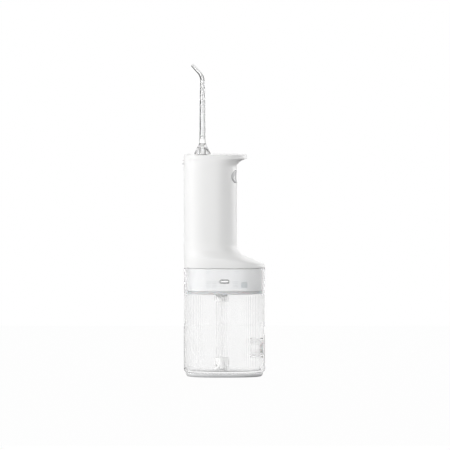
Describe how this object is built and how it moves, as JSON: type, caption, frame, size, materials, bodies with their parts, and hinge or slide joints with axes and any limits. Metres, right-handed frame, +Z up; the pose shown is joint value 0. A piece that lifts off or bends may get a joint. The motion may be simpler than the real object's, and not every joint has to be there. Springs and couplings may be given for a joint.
{
  "type": "water flosser",
  "caption": "Cordless water flosser: slim handle with finger hook, clear ribbed lift-off water tank with rear filler cap, and a clear bent swivelling nozzle.",
  "frame": {"origin": "centre of the tank's footprint, on the underside of the base pad", "axes": "+Z up, +X towards the finger-rest side, -X towards the buttons, -Y towards the charging port"},
  "size_m": [0.0799, 0.053, 0.3],
  "materials": {
    "body_white": "fine satin moulding, white",
    "button_white": "smooth satin, white",
    "cover_white": "semi-gloss, white",
    "tank_clear": "clear moulded copolyester with fine inner ribs",
    "nozzle_clear": "clear moulded plastic",
    "jet_grey": "glossy grey",
    "pad_grey": "soft matt grey",
    "silicone": "translucent matt silicone",
    "frame_grey": "glass-filled nylon, matt",
    "acetal": "natural acetal, slightly waxy",
    "steel": "brushed stainless",
    "brass": "machined brass",
    "board": "solder-masked circuit board",
    "dark_plastic": "black moulded plastic",
    "cell_wrap": "heat-shrink wrap over a steel can",
    "light_white": "milky light guide"
  },
  "bodies": {
    "tank": {"tank_vessel": "tank_clear", "base_pad": "pad_grey", "filler_hinge_pin": "steel"},
    "filler": {"filler_cap": "body_white", "filler_stopper": "silicone"},
    "handle": {"handle_shell": "body_white", "top_cover": "cover_white", "lower_plug": "body_white", "plug_seal_ring": "silicone", "suction_connector": "frame_grey", "suction_tube": "silicone", "suction_filter": "frame_grey", "usb_port_shell": "steel", "usb_tongue": "dark_plastic", "charge_pcb": "board", "pump_cylinder": "frame_grey", "pump_head": "frame_grey", "outlet_valve": "silicone", "inlet_valve": "silicone", "outlet_tube": "silicone", "nozzle_socket": "frame_grey", "top_gasket": "silicone", "inlet_tube": "silicone", "gear_axle": "steel", "gearbox_plate": "steel", "motor_can": "steel", "motor_endcap": "dark_plastic", "battery_cell": "cell_wrap", "chassis": "frame_grey", "chassis_screw_1": "steel", "chassis_screw_2": "steel", "chassis_screw_3": "steel", "chassis_screw_4": "steel", "main_pcb": "board", "light_guide": "light_white", "power_switch": "dark_plastic", "mode_switch": "dark_plastic", "jet_switch": "dark_plastic", "release_spring": "steel"},
    "sleeve": {"swivel_sleeve": "acetal"},
    "nozzle": {"nozzle_tube": "nozzle_clear", "nozzle_base": "nozzle_clear", "nozzle_o_ring": "silicone"},
    "release": {"release_button": "button_white", "release_latch": "acetal"},
    "power": {"power_button": "button_white"},
    "mode": {"mode_button": "button_white"},
    "jet": {"rear_jet_button": "jet_grey"},
    "crank": {"crank_gear": "acetal"},
    "rotor": {"motor_shaft": "steel", "pinion": "brass"},
    "rod": {"connecting_rod": "frame_grey"},
    "plunger": {"piston": "acetal", "piston_seal": "silicone"}
  },
  "joints": [
    {"name": "handle_lift", "type": "slide", "parent": "tank", "child": "handle", "axis": [0, 0, 1], "range_m": [0, 0.11]},
    {"name": "filler_cap_hinge", "type": "hinge", "parent": "tank", "child": "filler", "pos_m": [0.0373, 0, 0.0126], "axis": [0, 1, 0], "range_deg": [0, 100]},
    {"name": "nozzle_spin", "type": "hinge", "parent": "handle", "child": "sleeve", "pos_m": [-0.0211, 0, 0.2012], "axis": [0, 0, 1], "continuous": true},
    {"name": "nozzle_pull", "type": "slide", "parent": "sleeve", "child": "nozzle", "axis": [0, 0, 1], "range_m": [0, 0.03]},
    {"name": "release_press", "type": "slide", "parent": "handle", "child": "release", "axis": [1, 0, 0], "range_m": [0, 0.0015], "stiffness_N_per_m": 400, "springref_m": -0.001, "deforming": ["release_spring"]},
    {"name": "power_press", "type": "slide", "parent": "handle", "child": "power", "axis": [1, 0, 0], "range_m": [0, 0.0006], "stiffness_N_per_m": 800, "springref_m": -0.0005},
    {"name": "mode_press", "type": "slide", "parent": "handle", "child": "mode", "axis": [1, 0, 0], "range_m": [0, 0.0006], "stiffness_N_per_m": 800, "springref_m": -0.0005},
    {"name": "jet_press", "type": "slide", "parent": "handle", "child": "jet", "axis": [-1, 0, 0], "range_m": [0, 0.001], "stiffness_N_per_m": 800, "springref_m": -0.0005},
    {"name": "crank_spin", "type": "hinge", "parent": "handle", "child": "crank", "pos_m": [-0.0211, 0, 0.1372], "axis": [0, 1, 0], "continuous": true},
    {"name": "motor_spin", "type": "hinge", "parent": "handle", "child": "rotor", "pos_m": [-0.0211, 0, 0.1204], "axis": [0, 1, 0], "continuous": true},
    {"name": "rod_pivot", "type": "hinge", "parent": "crank", "child": "rod", "pos_m": [-0.0179, 0, 0.1372], "axis": [0, 1, 0], "continuous": true},
    {"name": "piston_stroke", "type": "slide", "parent": "handle", "child": "plunger", "axis": [0, 0, 1], "range_m": [-0.0032, 0.0032]}
  ],
  "couplings": [
    {"joint": "motor_spin", "follows": "crank_spin", "ratio": -3.2},
    {"joint": "rod_pivot", "follows": "crank_spin", "ratio": -1}
  ]
}
